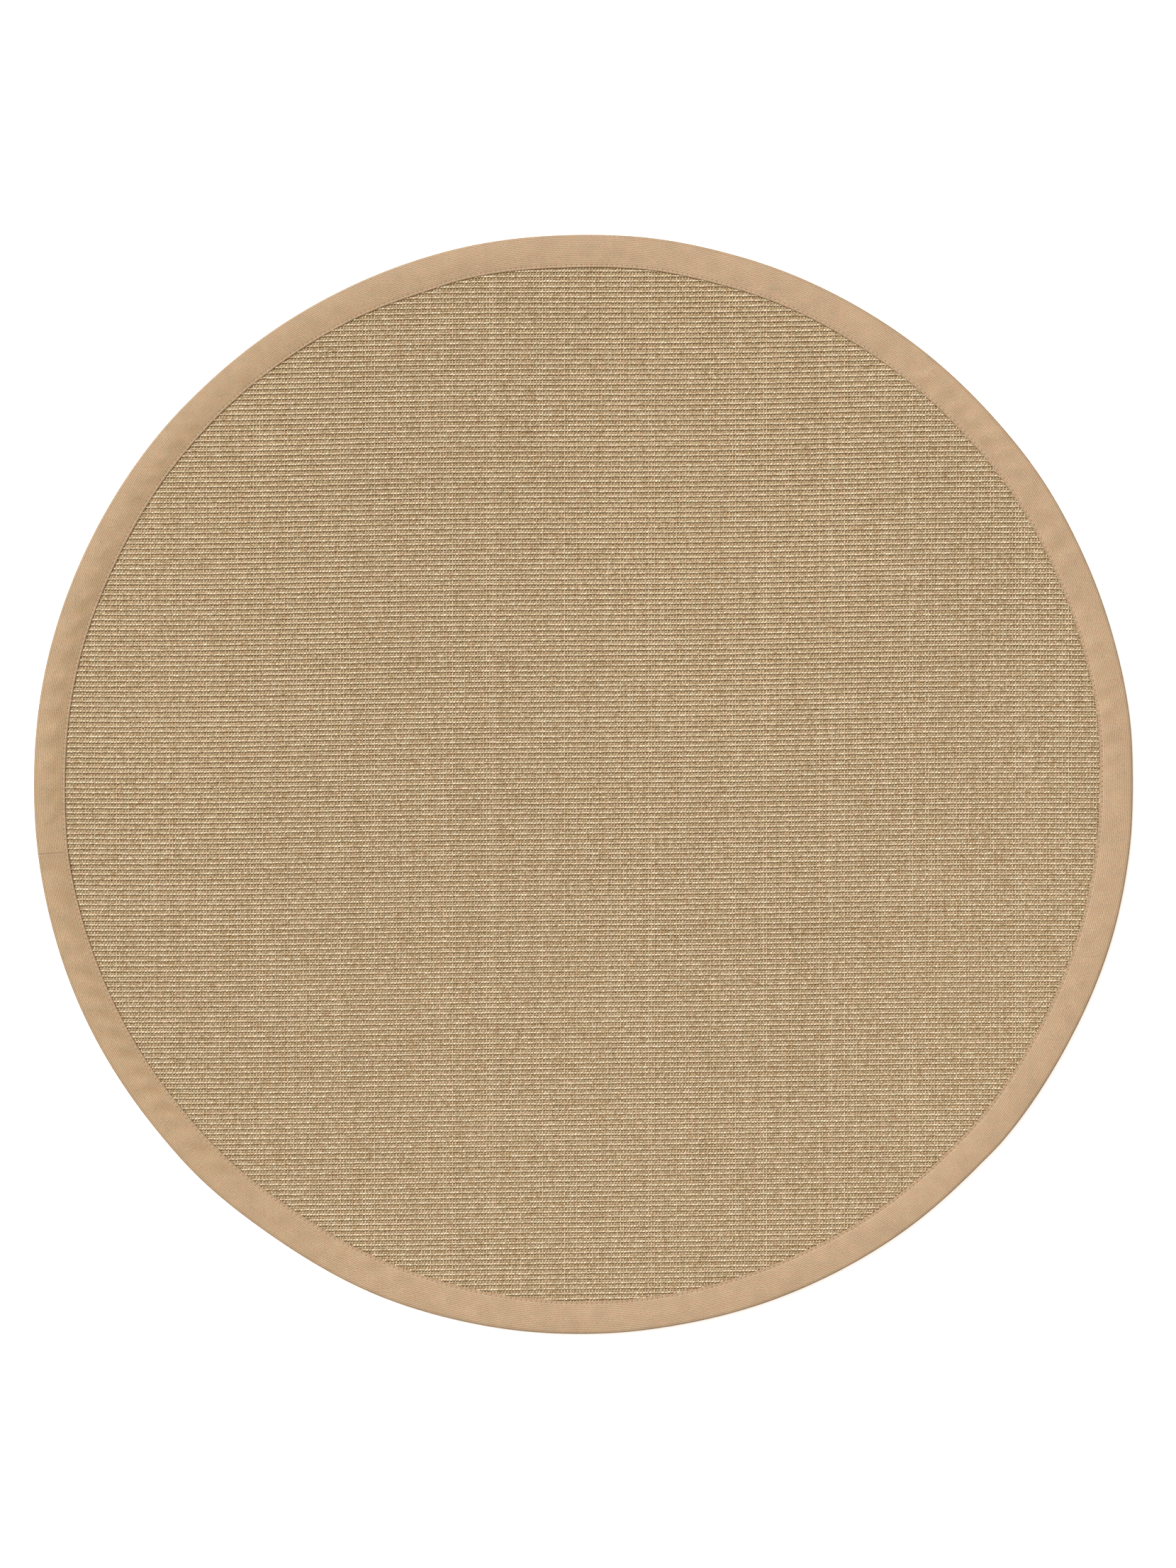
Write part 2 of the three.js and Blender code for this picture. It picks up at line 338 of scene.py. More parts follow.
def loop_row(row, rng):
    """One yarn of raised loops: a ring on each warp and one at each loop's crest between them."""
    w = weave()
    reach = int(RIM_RADIUS / w.loop_pitch)
    loops = np.arange(-reach, reach)
    middle = (loops + 0.5) * w.loop_pitch
    inside = loops[tape_reach(middle, row_height(middle, row)) < TAPE_COVER]
    if len(inside) < 3:
        return None
    columns = np.arange(inside[0], inside[-1] + 2)
    necks, crests = len(columns), len(columns) - 1
    neck_x = warp_place(columns, ROW_START + row * w.row_pitch)
    uneven = rng.normal(0, w.unevenness, (4, crests)).clip(-2 * w.unevenness, 2 * w.unevenness)
    x = np.empty(necks + crests)
    x[0::2] = neck_x
    x[1::2] = (neck_x[:-1] + neck_x[1:]) / 2 + uneven[0]
    y = row_height(x, row)
    y[1::2] += uneven[1]
    half = np.full(len(x), w.neck_width / 2)
    half[1::2] = w.loop_width / 2 + uneven[2]
    top = np.full(len(x), LOOP_NECK)
    top[1::2] = LOOP_CREST - LOOP_DROP + (uneven[3] * LOOP_DROP / w.unevenness).clip(-1, LOOP_DROP)
    top -= TAPE_PRESS * smooth_step(tape_reach(x, y), PRESS_FROM, PRESS_FULL)
    seat = np.full(len(x), NECK_SEAT)
    seat[1::2] = LOOP_SEAT
    lean = np.zeros(len(x))
    lean[1::2] = w.loop_lean
    spread = np.where(lean == 0, NECK_SPREAD, 0)
    near = np.stack([x - lean, y - half - spread, seat + LOOP_LIP], axis=-1)
    ridge = np.stack([x - lean, y, top], axis=-1)
    far = np.stack([x + lean, y + half, seat], axis=-1)
    tint = rng.normal(LOOP_TINT, TINT_SPREAD, len(x)).clip(0, 1)
    # Painted shade: the necks get none of the pale colour, and each loop's near edge little of it.
    crest = np.zeros((len(x), 3))
    crest[1::2] = LOOP_LIGHT_SHARES
    return np.stack([near, ridge, far], axis=1), tint, crest


def yarn_steps(half_length, step):
    """Places along a straight yarn. Its rounded ends are short and lie under the tape."""
    steps = max(int(2 * half_length / step), 2)
    between = np.linspace(END_STEP - half_length, half_length - END_STEP, steps + 1)
    return np.concatenate([[-half_length], between, [half_length]])


def warp_yarn(column, rng):
    """One warp, straight across the rug between two rows of loops and under them."""
    w = weave()
    x = column * w.loop_pitch
    half_length = math.sqrt(max((NOSE_RADIUS + TAPE_COVER) ** 2 - x * x, 0))
    if half_length < w.row_pitch:
        return None
    y = yarn_steps(half_length, WARP_STEP)
    x = warp_place(column, y)
    half = WARP_WIDTH / 2
    over = [(WARP_SHOULDER, WARP_TOP), (-WARP_SHOULDER, WARP_TOP)]
    corners = [(half, WARP_FOOT), *over, (-half, WARP_FOOT)]
    ring = [np.stack([x + dx, y, np.full(len(y), z)], axis=-1) for dx, z in corners]
    tint = np.full(len(y), rng.normal(YARN_TINT, YARN_TINT_SPREAD))
    return np.stack(ring, axis=1), tint, np.full(len(y), WARP_LIGHT_SHARE)


def weft_yarn(row, rng):
    """One low weft, which lies between two rows of loops and under the warps."""
    w = weave()
    height = ROW_START + row * w.row_pitch - WEFT_DROP
    half_length = math.sqrt(max((NOSE_RADIUS + TAPE_COVER) ** 2 - height * height, 0))
    if half_length < w.loop_pitch:
        return None
    x = yarn_steps(half_length, WEFT_STEP)
    y = row_height(x, row) - WEFT_DROP
    half = WEFT_WIDTH / 2
    corners = [(-half, WEFT_FOOT), (0, WEFT_TOP), (half, WEFT_FOOT)]
    ring = [np.stack([x, y + dy, np.full(len(x), z)], axis=-1) for dy, z in corners]
    tint = np.full(len(x), rng.normal(YARN_TINT, YARN_TINT_SPREAD))
    return np.stack(ring, axis=1), tint, np.full(len(x), WEFT_LIGHT_SHARE)


def made_yarns(make, count, rng):
    """The yarns that make() gives for the numbers from -count to count, without the missing ones."""
    yarns = [make(number, rng) for number in range(-count, count + 1)]
    return [yarn for yarn in yarns if yarn is not None]


def ground_cloth():
    """The frame's field with its ribs lowered, as the ground that the yarns lie on."""
    form = bmesh.new()
    form.from_mesh(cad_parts[FIELD_NODE].data)
    bmesh.ops.remove_doubles(form, verts=form.verts, dist=FRAME_WELD)
    for vert in form.verts:
        if vert.co.z > UNDERSIDE_TOP:
            vert.co.z = GROUND_TOP + GROUND_RELIEF * (vert.co.z - RIB_VALLEY)
    mesh = bpy.data.meshes.new("sisal_ground")
    form.to_mesh(mesh)
    form.free()
    return link("sisal_ground", mesh)


# The cotton tape

# Runs of puckers: crests stand pitch degrees apart and rise so high, and each swings by lean
# degrees on its way from the seam to the outer edge.
PUCKER_RUNS = (
    {"start": 1.2, "end": 17.0, "pitch": 2.4, "rise": 1.0 * MM, "lean": -0.1},
    {"start": 19.2, "end": 35.0, "pitch": 3.0, "rise": 1.1 * MM, "lean": -0.5},
    {"start": 36.8, "end": 51.5, "pitch": 2.3, "rise": 0.9 * MM, "lean": -0.8},
    {"start": 53.6, "end": 60.0, "pitch": 4.0, "rise": 0.5 * MM, "lean": -1.0},
    {"start": 136.8, "end": 149.0, "pitch": 2.4, "rise": 0.9 * MM, "lean": 1.0},
    {"start": 153.0, "end": 184.0, "pitch": 2.95, "rise": 1.1 * MM, "lean": 1.0},
    {"start": 191.3, "end": 198.5, "pitch": 3.2, "rise": 1.0 * MM, "lean": -0.6},
    {"start": 200.4, "end": 220.5, "pitch": 2.4, "rise": 1.3 * MM, "lean": -0.9},
    {"start": 222.8, "end": 230.0, "pitch": 3.1, "rise": 1.2 * MM, "lean": -0.9},
    {"start": 234.5, "end": 266.5, "pitch": 3.6, "rise": 0.4 * MM, "lean": -1.0},
    {"start": 331.3, "end": 357.5, "pitch": 3.1, "rise": 0.4 * MM, "lean": 0.7},
)
TAPE_STEPS = 90
TAPE_DOUBLINGS = 4
SPIN_WELD = 0.02 * MM
TAPE_TOP = 6.3 * MM
ROLL_WIDTH = 2.8 * MM
ROLL_PARTS = 10
# The corners of the tape's section, as reaches from its inner edge and heights, in millimetres.
UNDER_REACHES = (0, 15, 30)
INNER_ROLL = ((1.7, 6.4), (0.8, 6.42), (0.3, 6.36), (0.04, 6.15), (0.0, 5.7), (0.15, 5.3), (0.8, 5.2))
TOP_REACHES = (39, 35, 31, 27, 23.5, 20, 17, 14.5, 12, 10, 8, 6.4, 5.2, 4.3, 3.4, 2.6)
CROWN = 0.75 * MM
EDGE_SINK = 1.3 * MM
EDGE_SINK_REACH = 34 * MM
EDGE_SINK_AT = 135
EDGE_SINK_LEAST = 0.2
EDGE_SAG = 2.2 * MM
EDGE_SAG_AT = 116
EDGE_SAG_POWER = 14
SEAM_PULL = 0.25 * MM
SEAM_WIDTH = 1.3 * MM
PUCKER_MOST = 1.3 * MM
PUCKER_FROM = 3.0 * MM
PUCKER_FULL = 18.0 * MM
PUCKER_HALF = 30.0 * MM
PUCKER_FADE = 0.45
PUCKER_UNEVEN = 0.2
PUCKER_WAVE = 2.3
CREASE_FROM = 3 * MM
CREASE_FULL = 8 * MM
CREASE_FADES = 12 * MM
CREASE_END = 32 * MM
# The join, its lap, the lip on the lap's edge and the width of the painted shadow before it, in
# degrees apart from the heights in MM.
JOIN = 187.62
JOIN_TILT = 0.35
JOIN_SHADE_WIDTH = 0.045
JOIN_CROWD = 1.5
LAP = 0.9 * MM
LAP_LIP = 0.25 * MM
LAP_LENGTH = 2.6
LAP_RISE = (-0.02, 0.03)
LIP_RISE = (-0.02, 0.04)
LIP_FALL = (0.06, 0.35)


def pucker_crests():
    """The angle, rise, lean and painted trough shade of every crest and of every trough beside one."""
    rows = [(JOIN, 0.0, 0.0, 0.0)]
    for run in PUCKER_RUNS:
        half = run["pitch"] / 2
        count = int((run["end"] - run["start"]) / half)
        for k in range(count + 1):
            uneven = 1 - PUCKER_UNEVEN + PUCKER_UNEVEN * math.sin(PUCKER_WAVE * k)
            rise = run["rise"] * uneven if k % 2 == 0 else 0.0
            crease_shade = run["rise"] / PUCKER_MOST if k % 2 == 1 and k < count else 0.0
            rows.append((run["start"] + k * half, rise, run["lean"], crease_shade))
        rows.append((run["start"] - half, 0.0, run["lean"], 0.0))
    return np.array(sorted(rows))


def tape_section():
    """The tape's closed outline in the XZ plane, anticlockwise from the inner end below."""
    thickness = tape().thickness
    middle = TAPE_TOP / 2
    under = [(reach * MM, 0) for reach in UNDER_REACHES]
    width = RIM_RADIUS - NOSE_RADIUS
    turns = [math.pi * (k / ROLL_PARTS - 0.5) for k in range(ROLL_PARTS + 1)]
    centre = width - ROLL_WIDTH
    roll = [(centre + ROLL_WIDTH * math.cos(t), middle + middle * math.sin(t)) for t in turns]
    top = [(reach * MM, TAPE_TOP) for reach in TOP_REACHES]
    nose = [(reach * MM, height * MM) for reach, height in INNER_ROLL]
    inner_top = [(reach * MM, TAPE_TOP - thickness) for reach in TOP_REACHES[::-1][2:]]
    tight = middle - thickness
    inside = [(centre + (ROLL_WIDTH - thickness) * math.cos(t), middle + tight * math.sin(t))
              for t in turns[::-2]]
    lower = [(reach * MM, thickness) for reach in UNDER_REACHES[::-1]]
    return under + roll + top + nose + inner_top + inside + lower


def spun_tape():
    """The section turned all the way round, as a mesh on its true circle."""
    form = bmesh.new()
    corners = [form.verts.new((NOSE_RADIUS + reach, 0, height)) for reach, height in tape_section()]
    edges = [form.edges.new((corners[k - 1], corners[k])) for k in range(len(corners))]
    turn = 2 * math.pi / 2 ** TAPE_DOUBLINGS
    bmesh.ops.spin(form, geom=corners + edges, cent=(0, 0, 0), axis=(0, 0, 1), angle=turn,
                   steps=TAPE_STEPS)
    for k in range(TAPE_DOUBLINGS):
        copied = bmesh.ops.duplicate(form, geom=[*form.verts, *form.edges, *form.faces])
        verts = [part for part in copied["geom"] if isinstance(part, bmesh.types.BMVert)]
        further = Matrix.Rotation(turn * 2 ** k, 3, "Z")
        bmesh.ops.rotate(form, verts=verts, cent=(0, 0, 0), matrix=further)
    bmesh.ops.remove_doubles(form, verts=form.verts, dist=SPIN_WELD)
    bmesh.ops.recalc_face_normals(form, faces=form.faces)
    mesh = bpy.data.meshes.new("cotton_tape")
    form.to_mesh(mesh)
    form.free()
    return mesh


def join_line(share):
    """The angle of the lap's edge, from the tape's inner edge at 0 to its outer edge at 1."""
    return JOIN - JOIN_TILT * share


def crowded(angle, share):
    """The tape's rings with a few of them drawn together at the join, to keep its edge crisp."""
    away = angle - JOIN
    slack = (np.abs(away) / JOIN_CROWD) ** 3
    drawn = JOIN + np.sign(away) * JOIN_CROWD * slack + (join_line(share) - JOIN) * (1 - slack)
    return np.where(np.abs(away) < JOIN_CROWD, drawn, angle)


def eased_value(angle, column):
    """One column of the crests and troughs, eased from each of them to the next."""
    crests = pucker_crests()
    at = np.concatenate([crests[:, 0], [crests[0, 0] + 360]])
    value = np.concatenate([crests[:, column], [crests[0, column]]])
    turn = (angle - at[0]) % 360 + at[0]
    low = np.clip(np.searchsorted(at, turn, side="right") - 1, 0, len(at) - 2)
    share = smooth_step(turn, at[low], np.maximum(at[low + 1], at[low] + 0.01))
    return value[low] + (value[low + 1] - value[low]) * share


def crease_shade_share(angle, reach):
    """How much painted shade darkens the tape: 1 in the troughs between the highest puckers, near the
    seam, and 0 away from them.
    """
    start = smooth_step(reach, CREASE_FROM, CREASE_FULL)
    end = 1 - smooth_step(reach, CREASE_FADES, CREASE_END)
    return eased_value(angle, 3) * start * end


def pucker_shape(angle, reach):
    """The height of the puckers at each angle and distance from the tape's inner edge."""
    height = eased_value(angle, 1)
    grow = smooth_step(reach, PUCKER_FROM, PUCKER_FULL)
    fade = 1 - PUCKER_FADE * smooth_step(reach, PUCKER_FULL, PUCKER_HALF)
    end = 1 - smooth_step(reach, PUCKER_HALF, RIM_RADIUS - NOSE_RADIUS - ROLL_WIDTH)
    return height * grow * fade * end


def seam_lean(angle):
    """How far the puckers at each angle swing on their way outwards, in degrees."""
    crests = pucker_crests()
    return np.interp(angle, crests[:, 0], crests[:, 2], period=360)


def edge_sink(angle, reach):
    """How far the tape's inner edge is pressed into the field, deepest on the upper left."""
    deep = (1 + np.cos(np.radians(angle - EDGE_SINK_AT))) / 2
    depth = EDGE_SINK * (EDGE_SINK_LEAST + (1 - EDGE_SINK_LEAST) * deep)
    return depth * (1 - smooth_step(reach, 0, EDGE_SINK_REACH))


def tape_edge(angle):
    """The radius of the tape's inner edge, which sags a little inwards on the upper left."""
    sag = (1 + np.cos(np.radians(angle - EDGE_SAG_AT))) / 2
    return nose_radius(angle) - EDGE_SAG * sag ** EDGE_SAG_POWER


def lap_shape(angle, share):
    """The height of the folded end of the tape over its start, with a lip along its edge."""
    past = angle - join_line(share)
    lap = smooth_step(past, *LAP_RISE) * (1 - smooth_step(past, LAP_LENGTH / 2, LAP_LENGTH))
    lip = smooth_step(past, *LIP_RISE) * (1 - smooth_step(past, *LIP_FALL))
    return LAP * lap + LAP_LIP * lip


def laid_tape():
    """The spun tape moved to the frame's uneven edges, with its puckers and its lap."""
    mesh = spun_tape()
    points = np.empty(len(mesh.vertices) * 3)
    mesh.vertices.foreach_get("co", points)
    points = points.reshape(-1, 3)
    radius = np.hypot(points[:, 0], points[:, 1])
    height = points[:, 2]
    width = RIM_RADIUS - NOSE_RADIUS
    reach = radius - NOSE_RADIUS
    share = np.clip(reach / width, 0, 1)
    seam_angle = crowded(angle_of(points[:, 0], points[:, 1]), share)
    angle = seam_angle + seam_lean(seam_angle) * smooth_step(reach, PUCKER_FROM, PUCKER_HALF)
    inner_shift = tape_edge(angle) - NOSE_RADIUS
    outer_shift = rim_radius(angle) - RIM_RADIUS
    radius = radius + (1 - share) * inner_shift + share * outer_shift
    upper = smooth_step(height, TAPE_TOP / 2, TAPE_TOP - tape().thickness)
    skin = smooth_step(height, TAPE_TOP - tape().thickness, TAPE_TOP)
    crown = CROWN * np.sin(np.pi * share)
    pull = SEAM_PULL * np.exp(-((reach - tape().seam) / SEAM_WIDTH) ** 2)
    raised = height + upper * (pucker_shape(seam_angle, reach) + crown)
    raised = raised + skin * (lap_shape(seam_angle, share) - pull)
    raised = raised - upper * edge_sink(angle, reach)
    turn = np.radians(angle)
    placed = np.stack([radius * np.cos(turn), radius * np.sin(turn), raised], axis=-1)
    mesh.vertices.foreach_set("co", placed.ravel())
    keep_values(mesh, "reach", reach)
    # Painted shade in the troughs between the puckers, for the material to darken.
    keep_values(mesh, "crease_shade", crease_shade_share(seam_angle, reach))
    # Painted shadow in a thin line just before the lap's folded edge.
    keep_values(mesh, "gap_shade", np.exp(-((seam_angle - join_line(share)) / JOIN_SHADE_WIDTH + 1) ** 2))
    mesh.shade_smooth()
    mesh.update()
    return link("cotton_tape", mesh)


# The sewing

STITCH_LENGTH = 5.4 * MM
STITCH_RADIUS = 0.3 * MM
STITCH_DIVE = 0.45 * MM
STITCH_RINGS = (-1.0, -0.72, 0.0, 0.72, 1.0)
STITCH_TAPER = 0.6
STITCH_TINT = 0.5
STITCH_SIDES = 5


def stitch(number):
    """One stitch: a short thread along the tape with both ends drawn down into it."""
    middle = 360 * number / tape().stitches
    along = np.array(STITCH_RINGS)
    radius = float(tape_edge(middle)) + tape().seam
    angle = middle + np.degrees(along * STITCH_LENGTH / 2 / radius)
    reach = np.full(len(along), tape().seam)
    lap = lap_shape(angle, reach / (RIM_RADIUS - NOSE_RADIUS))
    crown = CROWN * math.sin(math.pi * tape().seam / (RIM_RADIUS - NOSE_RADIUS))
    sink = edge_sink(middle, tape().seam) + SEAM_PULL
    height = TAPE_TOP + crown - sink + lap - STITCH_DIVE * (np.abs(along) == 1)
    thick = STITCH_RADIUS * np.where(np.abs(along) == 1, STITCH_TAPER, 1.0)
    rings = []
    for side in range(STITCH_SIDES):
        turn = 2 * math.pi * side / STITCH_SIDES
        out = radius + thick * math.cos(turn)
        up = height + thick * math.sin(turn)
        place = [out * np.cos(np.radians(angle)), out * np.sin(np.radians(angle)), up]
        rings.append(np.stack(place, axis=-1))
    return np.stack(rings, axis=1), np.full(len(along), STITCH_TINT), np.ones(len(along))


# Shader nodes and materials

def add_node(tree, kind, values=None, **settings):
    """A shader node with its settings, and a number or another node's socket on each input."""
    node = tree.nodes.new(kind)
    for name, value in settings.items():
        setattr(node, name, value)
    for name, value in (values or {}).items():
        if isinstance(value, bpy.types.NodeSocket):
            tree.links.new(value, node.inputs[name])
        else:
            node.inputs[name].default_value = value
    return node


def maths(tree, operation, first, second=0.0, third=0.0, clamp=False):
    """The result of one sum on numbers or sockets."""
    values = {0: first, 1: second, 2: third}
    return add_node(tree, "ShaderNodeMath", values, operation=operation, use_clamp=clamp).outputs[0]


def mix_colour(tree, share, first, second, blend="MIX"):
    """The first colour with the second mixed into it."""
    node = add_node(tree, "ShaderNodeMix", {0: share, 6: first, 7: second}, data_type="RGBA",
                    blend_type=blend)
    return node.outputs[2]


def ramp_value(tree, value, low, high):
    """A soft rise of a value from 0 at low to 1 at high."""
    values = {"Value": value, "From Min": low, "From Max": high}
    return add_node(tree, "ShaderNodeMapRange", values, interpolation_type="SMOOTHSTEP").outputs[0]


def scaled_place(tree, scale):
    """Object coordinates, scaled by a Mapping node."""
    place = add_node(tree, "ShaderNodeTexCoord").outputs["Object"]
    return add_node(tree, "ShaderNodeMapping", {"Vector": place, "Scale": scale}).outputs[0]


def new_group(name, inputs, outputs):
    """A shader node group with named sockets, and its two end nodes."""
    tree = bpy.data.node_groups.new(name, "ShaderNodeTree")
    for label, kind, default in inputs:
        socket = tree.interface.new_socket(name=label, in_out="INPUT", socket_type=kind)
        if default is not None:
            socket.default_value = default
    for label, kind in outputs:
        tree.interface.new_socket(name=label, in_out="OUTPUT", socket_type=kind)
    start = tree.nodes.new("NodeGroupInput")
    end = tree.nodes.new("NodeGroupOutput")
    return tree, start, end


FIBRE_RANGE = (0.36, 0.64)
SPOT_RANGE = (0.3, 0.7)
SPOT_SCALE = (70, 110, 1)
# Rows, columns and clouds of tone: how fine each is along X, Y and Z, and how far it goes.
DRIFT_BANDS = (((2.5, 143, 1), 0.05), ((236, 2.0, 1), 0.05), ((14, 14, 1), 0.03))


def fibre_group():
    """Fine fibres along a yarn: the vector comes already drawn out along the yarn."""
    name = "Yarn Fibres"
    if name in bpy.data.node_groups:
        return bpy.data.node_groups[name]
    inputs = [("Vector", "NodeSocketVector", None), ("Roughness", "NodeSocketFloat", 0.6)]
    tree, start, end = new_group(name, inputs, [("Streak", "NodeSocketFloat")])
    values = {"Vector": start.outputs["Vector"], "Scale": 1.0, "Detail": 3.0,
              "Roughness": start.outputs["Roughness"]}
    noise = add_node(tree, "ShaderNodeTexNoise", values).outputs["Fac"]
    tree.links.new(ramp_value(tree, noise, *FIBRE_RANGE), end.inputs["Streak"])
    return tree


def drift_group():
    """Slow changes over the rug: rows and columns a little lighter or darker, and warmer spots."""
    name = "Tone Drift"
    if name in bpy.data.node_groups:
        return bpy.data.node_groups[name]
    inputs = [("Vector", "NodeSocketVector", None), ("Strength", "NodeSocketFloat", 1.0)]
    outputs = [("Light", "NodeSocketFloat"), ("Warmth", "NodeSocketFloat")]
    tree, start, end = new_group(name, inputs, outputs)
    total = 1.0
    for scale, share in DRIFT_BANDS:
        values = {"Vector": start.outputs["Vector"], "Scale": scale}
        place = add_node(tree, "ShaderNodeMapping", values).outputs[0]
        noise = add_node(tree, "ShaderNodeTexNoise", {"Vector": place, "Scale": 1.0, "Detail": 2.0})
        change = maths(tree, "SUBTRACT", noise.outputs["Fac"], 0.5)
        change = maths(tree, "MULTIPLY", change, start.outputs["Strength"])
        total = maths(tree, "MULTIPLY_ADD", change, share * 2, total)
    tree.links.new(total, end.inputs["Light"])
    values = {"Vector": start.outputs["Vector"], "Scale": SPOT_SCALE}
    place = add_node(tree, "ShaderNodeMapping", values).outputs[0]
    spots = add_node(tree, "ShaderNodeTexNoise", {"Vector": place, "Scale": 1.0, "Detail": 3.0})
    tree.links.new(spots.outputs["Fac"], end.inputs["Warmth"])
    return tree


def place_group(tree, group, values):
    """A shared effect placed in a material, with its own values."""
    return add_node(tree, "ShaderNodeGroup", values, node_tree=group)


def new_material(name, roughness):
    """A new material, its node tree and its Principled shader."""
    material = bpy.data.materials.new(name)
    material.use_nodes = True
    tree = material.node_tree
    shader = tree.nodes["Principled BSDF"]
    shader.inputs["Roughness"].default_value = roughness
    return material, tree, shader


def opaque(colour):
    """A colour with full alpha, as colour sockets take it."""
    return (*colour, 1.0)


def brightened(tree, colour, light):
    """A colour made lighter or darker by a number near 1."""
    grey = add_node(tree, "ShaderNodeCombineColor", {0: light, 1: light, 2: light}).outputs[0]
    return mix_colour(tree, 1.0, colour, grey, "MULTIPLY")


def warmed(tree, colour, warmth):
    """A colour turned towards the cool or the warm tone by a drifting number near 0.5."""
    hue = mix_colour(tree, ramp_value(tree, warmth, *SPOT_RANGE), opaque(COOL), opaque(WARM))
    return mix_colour(tree, 1.0, colour, hue, "MULTIPLY")


def toned(tree, colour, share, tone):
    """A colour darkened by a tone where the share is 1."""
    return mix_colour(tree, share, colour, opaque(tone), "MULTIPLY")


def kept_value(tree, name):
    """A number stored on the mesh by keep_values()."""
    return add_node(tree, "ShaderNodeAttribute", attribute_name=name).outputs["Fac"]


SISAL_ROUGHNESS = 0.82
GROUND_ROUGHNESS = 0.9
GROUND_SCALE = (900, 900, 500)
FIBRE_SHARE = 1.5
PAINTED_SHADE_AT = -0.1
PAINTED_LIGHT_AT = 0.7
WARM = (1.04, 0.985, 0.95)
COOL = (0.985, 1.01, 0.97)
LEFT_TONE = (0.95, 0.94, 0.88)
# Painted shade tones for the tape's pucker troughs, outer roll, inner edge and join.
CREASE_SHADE = (0.93, 0.91, 0.85)
RIM_SHADE = (0.85, 0.85, 0.84)
NOSE_SHADE = (0.8, 0.66, 0.45)
GAP_SHADE = (0.28, 0.22, 0.14)


def sisal_material(name, fibre_scale):
    """Dull natural yarn: a tint for each loop, fibres along the yarn, a slow drift in tone, and
    painted shade in the deep colour on its low and shaded parts, set by its crest values.
    """
    w = weave()
    material, tree, shader = new_material(name, SISAL_ROUGHNESS)
    shader.inputs["Specular IOR Level"].default_value = 0.25
    place = scaled_place(tree, (1, 1, 1))
    drift = place_group(tree, drift_group(), {"Vector": place, "Strength": 1.0})
    fibres = place_group(tree, fibre_group(), {"Vector": scaled_place(tree, fibre_scale)})
    streak = fibres.outputs["Streak"]
    share = maths(tree, "MULTIPLY_ADD", streak, FIBRE_SHARE, kept_value(tree, "tint"))
    share = maths(tree, "SUBTRACT", share, FIBRE_SHARE / 2)
    # Painted light and shade: a low crest value, on necks, low yarns and the loops' near edges, turns
    # the yarn to the deep colour.
    rise = ramp_value(tree, kept_value(tree, "crest"), PAINTED_SHADE_AT, PAINTED_LIGHT_AT)
    share = maths(tree, "MULTIPLY", share, rise, clamp=True)
    colour = mix_colour(tree, share, opaque(w.deep), opaque(w.pale))
    colour = warmed(tree, colour, drift.outputs["Warmth"])
    colour = brightened(tree, colour, drift.outputs["Light"])
    tree.links.new(colour, shader.inputs["Base Color"])
    bump = add_node(tree, "ShaderNodeBump", {"Height": streak, "Strength": 0.5, "Distance": 0.15 * MM})
    tree.links.new(bump.outputs[0], shader.inputs["Normal"])
    return material


def ground_material():
    """The sisal ground between the rows, in colours painted darker than the yarns as painted shade."""
    w = weave()
    material, tree, shader = new_material("sisal_ground", GROUND_ROUGHNESS)
    fibres = place_group(tree, fibre_group(), {"Vector": scaled_place(tree, GROUND_SCALE)})
    share = fibres.outputs["Streak"]
    colour = mix_colour(tree, share, opaque(w.depth_shade), opaque(w.ground))
    tree.links.new(colour, shader.inputs["Base Color"])
    bump = add_node(tree, "ShaderNodeBump", {"Height": share, "Strength": 0.5, "Distance": 0.2 * MM})
    tree.links.new(bump.outputs[0], shader.inputs["Normal"])
    return material


# Ribs and rows of floats for each metre across the tape, and floats in one turn along it.
RIB_LINES = 408
FLOAT_LINES = 497
FLOAT_COUNT = 883
RIB_SHARE = 0.6
TWILL_RANGE = 1.4


def twill_group():
    """Floats along the tape in fine brickwork, with a rib in every other row or so."""
    name = "Tape Weave"
    if name in bpy.data.node_groups:
        return bpy.data.node_groups[name]
    inputs = [("Turns", "NodeSocketFloat", 0.0), ("Reach", "NodeSocketFloat", 0.0)]
    tree, start, end = new_group(name, inputs, [("Height", "NodeSocketFloat")])
    whole = 2 * math.pi
    reach = start.outputs["Reach"]
    rib = maths(tree, "COSINE", maths(tree, "MULTIPLY", reach, RIB_LINES * whole))
    row = maths(tree, "COSINE", maths(tree, "MULTIPLY", reach, FLOAT_LINES * whole))
    along = maths(tree, "COSINE", maths(tree, "MULTIPLY", start.outputs["Turns"], FLOAT_COUNT * whole))
    brick = maths(tree, "MULTIPLY", row, along)
    height = maths(tree, "MULTIPLY_ADD", rib, RIB_SHARE, brick)
    tree.links.new(ramp_value(tree, height, -TWILL_RANGE, TWILL_RANGE), end.inputs["Height"])
    return tree


COTTON_ROUGHNESS = 0.62
TWILL_SHARE = 0.7
COTTON_DRIFT = 0.35
GRAIN_SCALE = 900.0
SMUDGE_SCALE = 45.0
SMUDGE_SHARE = 0.3
LEFT_TURNS = 0.48
RIM_FROM = 39 * MM
RIM_FULL = 43 * MM
NOSE_FROM = 0.6 * MM
NOSE_FULL = 0.1 * MM
# The painted shade colour in the needle holes.
HOLE_SHADE = paint(90, 68, 46)
HOLE_SHARE = 0.45
HOLE_DEPTH = 1.5


